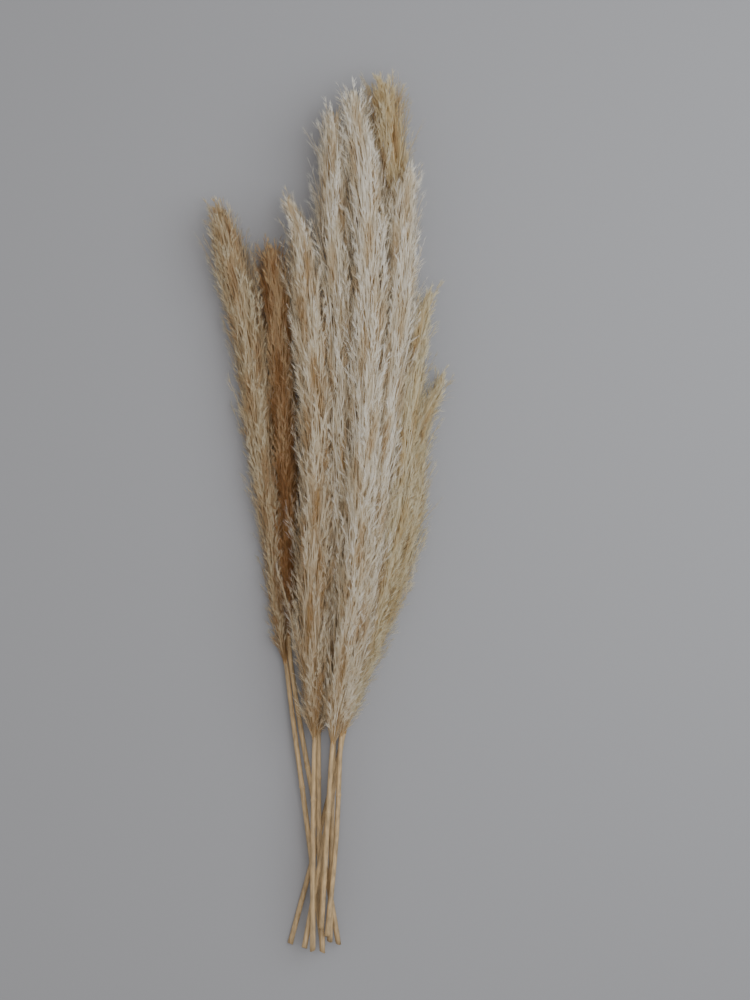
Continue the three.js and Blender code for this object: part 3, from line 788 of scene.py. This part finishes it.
def grow_hairs(plume, twigs, settings, rng):
    """Silky hairs along the side twigs, each a slim blade.

    A hair leaves its twig at a small angle, to any side but mostly outwards. Its wide
    side faces outwards. Hairs near the end of a twig or of a branchlet are shorter.
    """
    number = settings.hairs
    total = len(twigs["t"]) * number
    w = {key: np.repeat(value, number, axis=0) for key, value in twigs.items()}
    s = rng.uniform(0, 1, total) ** 0.85
    root = w["foot"] + w["heading"] * (s * w["length"])[:, None]
    out = outwards(plume, root, w["heading"])
    side = np.cross(w["heading"], out)
    turn = rng.normal(0, 1.5, total)[:, None]
    away = np.cos(turn) * out + np.sin(turn) * side
    lean = np.radians(rng.uniform(3, 30, total) * (1.15 - 0.45 * s))[:, None]
    heading = unit(np.cos(lean) * w["heading"] + np.sin(lean) * away)
    length = settings.hair_length * 1000 * rng.uniform(0.6, 1.0, total)
    length *= (1.0 - 0.3 * w["t"] ** 2.5) * (1 - 0.3 * s)
    width = settings.hair_width * 1000 * rng.uniform(0.7, 1.3, total)
    roll = rng.normal(0, 0.2, total)[:, None]
    face = square_to(np.cos(roll) * out + np.sin(roll) * side, heading)
    middle = root + heading * (0.36 * length)[:, None]
    tip = root + heading * length[:, None]
    tone = hair_tone(plume, root) + 0.1 * (s - 0.5) + w["tone"]
    tone += rng.normal(0, 0.02, total)
    tone = np.clip(tone, LEAST_TONE, GREATEST_TONE)[:, None] + CORNER_TONES
    return blades(root, tip, middle, face, width, tone, HAIR_GRAIN)


def grow_down(plume, settings, rng):
    """Soft down between the branchlets, which closes the view into the head.

    Each blade lies along the plume. Its ends stand at a set part of the room that the
    plume has there, a larger part at its upper end, so it leans a little outwards. The
    room is the free radius, or the ellipse's where that is less. Beside a neighbour
    the ellipse counts as up to a fifth wider and the blades stand further out, which
    closes the channel between the two.
    """
    count = int(settings.down * plume.data["size"])
    y = np.linspace(plume.base + 6, plume.tip - 20, SPREAD_STEPS)
    _, _, width, height = plume.section(y)
    share = np.cumsum(width + height)
    part = (np.arange(count) + rng.uniform(0, 1, count)) / count
    low = np.interp(part, share / share[-1], y)
    high = low + rng.uniform(18, 34, count) * np.clip((plume.tip - low) / 60, 0.3, 1)
    angle = rng.uniform(0, 2 * np.pi, count)
    near = crowd(plume, low, angle)
    depth = rng.uniform(0.45, 0.84, count) + 0.2 * near * rng.uniform(0, 1, count)
    # Near the plume's tip they stand at every depth, so that its end is closed.
    depth *= 1 - rng.uniform(0, 0.9, count) * np.exp((low + 20 - plume.tip) / 25)

    def place(at, turn, part_out):
        x0, z0, _, _ = plume.section(at)
        around = ellipse_radius(plume, at, turn) * (1 + 0.2 * near)
        room = np.minimum(plume.free_radius(at, turn), around)
        x = x0 + part_out * room * np.cos(turn)
        return np.stack([x, at, z0 + part_out * room * np.sin(turn)], -1)

    root = place(low, angle, 0.82 * depth)
    tip = place(high, angle + rng.normal(0, 0.16, count), depth * 1.06)
    middle = 0.55 * root + 0.45 * tip
    x0, z0, _, _ = plume.section(middle[:, 1])
    out = np.stack([middle[:, 0] - x0, np.zeros(count), middle[:, 2] - z0], -1)
    face = square_to(out, unit(tip - root))
    width = rng.uniform(0.6, 1.3, count)
    # Beside a neighbour the down is darker still: painted shade in the channel between the
    # plumes.
    tone = hair_tone(plume, middle) - CROWD_SHADE * near + rng.normal(0, 0.03, count)
    tone = np.clip(tone, LEAST_TONE, 0.9)[:, None] + CORNER_TONES
    return blades(root, tip, middle, face, width, tone, DOWN_GRAIN)


def grow_core(plume, rng, sides=14, step=6.0):
    """Dense golden down round the rachis, deep inside the hairs.

    A closed surface whose radius is 0.3 to 0.5 of the free radius, or of the ellipse's
    where that is less, drawn anew for each corner. It narrows over its last 60 mm.
    """
    low, high = plume.base + 3, plume.tip - 16
    y = np.linspace(low, high, int((high - low) / step))[:, None]
    angle = np.arange(sides)[None, :] * 2 * np.pi / sides
    x0, z0, _, _ = plume.section(y)
    room = np.minimum(plume.free_radius(y, angle), ellipse_radius(plume, y, angle))
    radius = room * rng.uniform(0.3, 0.5, room.shape)
    radius *= np.clip((high - y) / 60, 0.04, 1) ** 0.6
    x = x0 + radius * np.cos(angle)
    z = above_floor(z0 + radius * np.sin(angle))
    grid = np.stack([x, y + rng.uniform(-2, 2, room.shape), z], -1)
    foot, head = grid[0].mean(0) - (0, 2, 0), grid[-1].mean(0) + (0, 3, 0)
    points, faces = closed_tube(grid, foot, head)
    tone = rng.uniform(0.03, 0.16, len(points))
    grain = rng.uniform(0.04, 0.3, len(points))
    return points, faces, tone, grain


def make_mesh(name, points, faces, places=None, smooth=True):
    """A mesh object of triangles in metres, with a map from a place per vertex."""
    if not np.isfinite(points).all():
        raise RuntimeError(f"{name} has a point without a place")
    mesh = bpy.data.meshes.new(name)
    mesh.vertices.add(len(points))
    mesh.vertices.foreach_set("co", (points / 1000).astype(np.float32).ravel())
    mesh.loops.add(faces.size)
    mesh.loops.foreach_set("vertex_index", faces.astype(np.int32).ravel())
    mesh.polygons.add(len(faces))
    starts = np.arange(len(faces), dtype=np.int32) * faces.shape[1]
    mesh.polygons.foreach_set("loop_start", starts)
    mesh.update(calc_edges=True)
    mesh.polygons.foreach_set("use_smooth", np.full(len(faces), smooth))
    if places is not None:
        layer = mesh.uv_layers.new(name="OFBake")
        layer.data.foreach_set("uv", places[faces.ravel()].astype(np.float32).ravel())
    if mesh.validate():
        raise RuntimeError(f"{name} has faulty faces")
    made = bpy.data.objects.new(name, mesh)
    bpy.context.scene.collection.objects.link(made)
    return made


def plume_material(tone):
    """Dried pampas hair: silky, dull, lets light through.

    The map's first axis runs from the shade inside the head to its outside, and its
    second from a hair's root to its tip, where dry hair is palest and most glossy.
    """
    name = f"dried_pampas_hair_{tone}"
    if name in bpy.data.materials:
        return bpy.data.materials[name]
    deep, body, outside, tips = (linear(value) for value in TONES[tone])
    material = empty_material(name)
    tree = material.node_tree
    uv = add_node(tree, "ShaderNodeUVMap", uv_map="OFBake")
    axes = add_node(tree, "ShaderNodeSeparateXYZ", {"Vector": uv.outputs["UV"]})
    inside = add_node(
        tree, "ShaderNodeValToRGB", {"Fac": axes.outputs["X"]},
        stops=[(0.0, deep), (0.45, body), (0.85, outside), (1.0, outside)],
    )
    pale = add_node(tree, "ShaderNodeMath", {0: axes.outputs["Y"], 1: 1.4}, operation="POWER")
    share = add_node(tree, "ShaderNodeMath", {0: pale.outputs[0], 1: 0.4}, operation="MULTIPLY")
    colour = add_node(
        tree, "ShaderNodeMix",
        {"Factor": share.outputs[0], "A": inside.outputs["Color"], "B": tips},
        data_type="RGBA",
    )
    result = colour.outputs["Result"]
    rough = add_node(
        tree, "ShaderNodeMapRange",
        {"Value": axes.outputs["Y"], "To Min": 0.85, "To Max": 0.6},
    )
    skin = add_node(
        tree, "ShaderNodeBsdfPrincipled",
        {
            "Base Color": result, "Roughness": rough.outputs["Result"],
            "Specular IOR Level": 0.3,
        },
    )
    through = add_node(tree, "ShaderNodeBsdfTranslucent", {"Color": result})
    both = add_node(
        tree, "ShaderNodeMixShader",
        {"Fac": 0.7, 1: skin.outputs["BSDF"], 2: through.outputs["BSDF"]},
    )
    add_node(tree, "ShaderNodeOutputMaterial", {"Surface": both.outputs["Shader"]})
    return material


def reed_material(colour):
    """Dry reed: smooth straw with fine lengthwise fibres and darker old patches."""
    material = empty_material("dry_reed_straw")
    tree = material.node_tree
    place = add_node(tree, "ShaderNodeTexCoord")
    patterns = []
    for size, detail in ((FIBRE_SIZE, 3.0), (PATCH_SIZE, 2.0)):
        cells = add_node(
            tree, "ShaderNodeMapping",
            {"Vector": place.outputs["Object"], "Scale": tuple(1000 / side for side in size)},
        )
        noise = add_node(
            tree, "ShaderNodeTexNoise",
            {"Vector": cells.outputs["Vector"], "Scale": 1.0, "Detail": detail},
        )
        patterns.append(noise.outputs["Fac"])
    fibre, patch = patterns
    mixed = add_node(tree, "ShaderNodeMath", {0: fibre, 1: patch}, operation="ADD")
    halved = add_node(
        tree, "ShaderNodeMath", {0: mixed.outputs[0], 1: 0.5}, operation="MULTIPLY",
    )
    dark, body, light = (
        tuple(min(1.0, factor * part) for part in colour) + (1.0,)
        for factor in (0.5, 1.0, 1.45)
    )
    straw = add_node(
        tree, "ShaderNodeValToRGB", {"Fac": halved.outputs[0]},
        stops=[(0.32, dark), (0.5, body), (0.68, light)],
    )
    bump = add_node(
        tree, "ShaderNodeBump", {"Height": fibre, "Strength": 0.4, "Distance": 0.0003},
    )
    rough = add_node(
        tree, "ShaderNodeMapRange", {"Value": patch, "To Min": 0.42, "To Max": 0.7},
    )
    skin = add_node(
        tree, "ShaderNodeBsdfPrincipled",
        {
            "Base Color": straw.outputs["Color"], "Normal": bump.outputs["Normal"],
            "Roughness": rough.outputs["Result"],
        },
    )
    add_node(tree, "ShaderNodeOutputMaterial", {"Surface": skin.outputs["BSDF"]})
    return material


def floor_material():
    """Matt painted board, pale grey, with a faint roller grain of about 3 mm."""
    material = empty_material("matt_painted_board")
    tree = material.node_tree
    place = add_node(tree, "ShaderNodeTexCoord")
    grain = add_node(
        tree, "ShaderNodeTexNoise",
        {"Vector": place.outputs["Object"], "Scale": 1000 / ROLLER_GRAIN, "Detail": 2.0},
    )
    bump = add_node(
        tree, "ShaderNodeBump",
        {"Height": grain.outputs["Fac"], "Strength": 0.15, "Distance": 0.0004},
    )
    skin = add_node(
        tree, "ShaderNodeBsdfPrincipled",
        {
            "Base Color": linear("#97979b"), "Roughness": 0.9,
            "Specular IOR Level": 0.2, "Normal": bump.outputs["Normal"],
        },
    )
    add_node(tree, "ShaderNodeOutputMaterial", {"Surface": skin.outputs["BSDF"]})
    return material


class PAMPAS_OT_heads(bpy.types.Operator):
    """Grow the feathery head of every plume"""

    bl_idname = "pampas.heads"
    bl_label = "Feathery heads"
    bl_options = {"REGISTER", "UNDO"}

    def execute(self, context):
        settings = context.scene.pampas_plumes
        plumes = [Plume(name) for name in PLUMES]
        for plume in plumes:
            plume.share_out(plumes)
            rng = np.random.default_rng(plume.data["seed"])
            plan = add_strays(plume, plan_branchlets(plume, settings, rng))
            twigs = plan_twigs(plume, plan, settings, rng)
            grown = [
                grow_core(plume, rng), grow_stalks(plume, plan), grow_twigs(plume, twigs),
                grow_hairs(plume, twigs, settings, rng), grow_down(plume, settings, rng),
            ]
            points, faces, tone, grain = zip(*grown)
            starts = np.cumsum([0] + [len(part) for part in points])
            faces = np.concatenate([part + at for part, at in zip(faces, starts)])
            places = np.column_stack([np.concatenate(tone), np.concatenate(grain)])
            name = f"plume_{plume.name}"
            head = make_mesh(name, np.concatenate(points), faces, places, smooth=False)
            head.data.materials.append(plume_material(plume.data["tone"]))
            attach(head, "root")
            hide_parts(f"head_{plume.name}")
        return {"FINISHED"}


def stem_rings(plume, sides):
    """Stem surface on a grid of rings and sides, in millimetres.

    The profile is a circle with five faint ridges, carried along the plume's axis. Its
    radius grows from head to cut end, shrinks to half inside the head, and swells by
    a short bell curve at the culm node.
    """
    culm = (ORIGIN_V - plume.data["culm"]) * MM_PER_PIXEL
    top = plume.base + STEM_IN_HEAD
    # The rings stand closer together round the culm node.
    near = culm + np.array([-6, -4, -2.5, -1.4, -0.7, 0, 0.7, 1.4, 2.5, 4, 6])
    y = np.unique(np.concatenate([np.linspace(plume.end, top, 36), near]))[:, None]
    down = np.clip((plume.base - y) / (plume.base - plume.end), 0, 1)
    radius = STEM_TOP_RADIUS + (STEM_END_RADIUS - STEM_TOP_RADIUS) * down
    narrowed = 1 - 0.5 * (y - plume.base) / STEM_IN_HEAD
    radius *= np.where(y > plume.base, narrowed, 1.0)
    radius += CULM_SWELL * np.exp(-(((y - culm) / CULM_WIDTH) ** 2))
    turn = np.arange(sides)[None, :] * 2 * np.pi / sides
    ridges = 1 + 0.02 * np.cos(5 * turn + plume.data["seed"])
    x0, z0, _, _ = plume.section(y)
    x = x0 + radius * ridges * np.cos(turn)
    z = z0 + radius * ridges * np.sin(turn)
    slant = CUT_SLANT * radius * np.cos(turn - plume.data["seed"])
    cut = np.where(y == plume.end, slant, 0.0)
    return np.stack([x, y + cut, z], -1)


class PAMPAS_OT_stems(bpy.types.Operator):
    """Make the reed stems with their culm nodes and cut ends"""

    bl_idname = "pampas.stems"
    bl_label = "Reed stems"
    bl_options = {"REGISTER", "UNDO"}

    def execute(self, context):
        settings = context.scene.pampas_stems
        material = reed_material(settings.colour)
        for name in PLUMES:
            plume = Plume(name)
            grid = stem_rings(plume, settings.sides)
            foot = grid[0].mean(0) + (0, 0.5, 0)
            points, faces = closed_tube(grid, foot, grid[-1].mean(0))
            stem = make_mesh(f"reed_{name}", points, faces)
            stem.data.materials.append(material)
            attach(stem, "root")
            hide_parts(f"stem_{name}")
        return {"FINISHED"}


def add_area_light(name, power, place, target, colour):
    """Add a square area light at a place in metres, turned to its target.

    It is tilted from straight down by the angle between the vertical and the way to
    the target, and turned about the vertical by that way's bearing.
    """
    data = bpy.data.lights.new(name, "AREA")
    data.size = LIGHT_SIZE
    data.energy = power
    data.color = colour
    light = bpy.data.objects.new(name, data)
    light.location = place
    way = np.array(place, float) - np.array(target, float)
    flat = math.hypot(way[0], way[1])
    light.rotation_euler = (math.atan2(flat, way[2]), 0, math.atan2(way[0], -way[1]))
    bpy.context.scene.collection.objects.link(light)


class PAMPAS_OT_stage(bpy.types.Operator):
    """Add the floor, the soft light and the camera that looks straight down"""

    bl_idname = "pampas.stage"
    bl_label = "Stage"
    bl_options = {"REGISTER", "UNDO"}

    def execute(self, context):
        settings = context.scene.pampas_stage
        corners = FLOOR_HALF * np.array([(-1, -1, 0), (1, -1, 0), (1, 1, 0), (-1, 1, 0)])
        floor = make_mesh("floor", corners, np.array([[0, 1, 2, 3]]), smooth=False)
        floor.data.materials.append(floor_material())
        add_area_light("key_light", settings.key, *KEY_LIGHT)
        add_area_light("fill_light", settings.fill, *FILL_LIGHT)
        world = bpy.data.worlds.new("studio")
        world.use_nodes = True
        background = world.node_tree.nodes["Background"]
        background.inputs["Color"].default_value = SKY_COLOUR
        background.inputs["Strength"].default_value = settings.sky
        context.scene.world = world
        data = bpy.data.cameras.new("photo_camera")
        data.sensor_fit = "VERTICAL"
        data.sensor_height = SENSOR_HEIGHT
        seen = PHOTO_HEIGHT * MM_PER_PIXEL / 1000
        data.lens = SENSOR_HEIGHT * settings.distance / seen
        data.clip_end = 50.0
        camera = bpy.data.objects.new("photo_camera", data)
        x = (PHOTO_WIDTH / 2 - ORIGIN_U) * MM_PER_PIXEL / 1000
        y = (ORIGIN_V - PHOTO_HEIGHT / 2) * MM_PER_PIXEL / 1000
        camera.location = (x, y, settings.distance + PLUME_MIDDLE / 1000)
        context.scene.collection.objects.link(camera)
        context.scene.camera = camera
        return {"FINISHED"}


class PAMPAS_PT_panel(bpy.types.Panel):
    """Settings and steps of the bundle"""

    bl_label = "Pampas grass bundle"
    bl_idname = "PAMPAS_PT_panel"
    bl_space_type = "VIEW_3D"
    bl_region_type = "UI"
    bl_category = "Pampas"

    def draw(self, context):
        for group, operator in (
            ("pampas_plumes", "pampas.heads"),
            ("pampas_stems", "pampas.stems"),
            ("pampas_stage", "pampas.stage"),
        ):
            box = self.layout.box()
            settings = getattr(context.scene, group)
            for key in settings.__annotations__:
                box.prop(settings, key)
            box.operator(operator)


CLASSES = (
    PlumeSettings, StemSettings, StageSettings,
    PAMPAS_OT_heads, PAMPAS_OT_stems, PAMPAS_OT_stage, PAMPAS_PT_panel,
)


def register():
    """Register the classes and hang their settings on the scene."""
    for cls in CLASSES:
        bpy.utils.register_class(cls)
    bpy.types.Scene.pampas_plumes = PointerProperty(type=PlumeSettings)
    bpy.types.Scene.pampas_stems = PointerProperty(type=StemSettings)
    bpy.types.Scene.pampas_stage = PointerProperty(type=StageSettings)


def unregister():
    """Take the settings and the classes away again."""
    del bpy.types.Scene.pampas_stage
    del bpy.types.Scene.pampas_stems
    del bpy.types.Scene.pampas_plumes
    for cls in reversed(CLASSES):
        bpy.utils.unregister_class(cls)


def main():
    register()
    bpy.ops.pampas.heads()
    bpy.ops.pampas.stems()
    bpy.ops.pampas.stage()


if __name__ == "__main__":
    main()
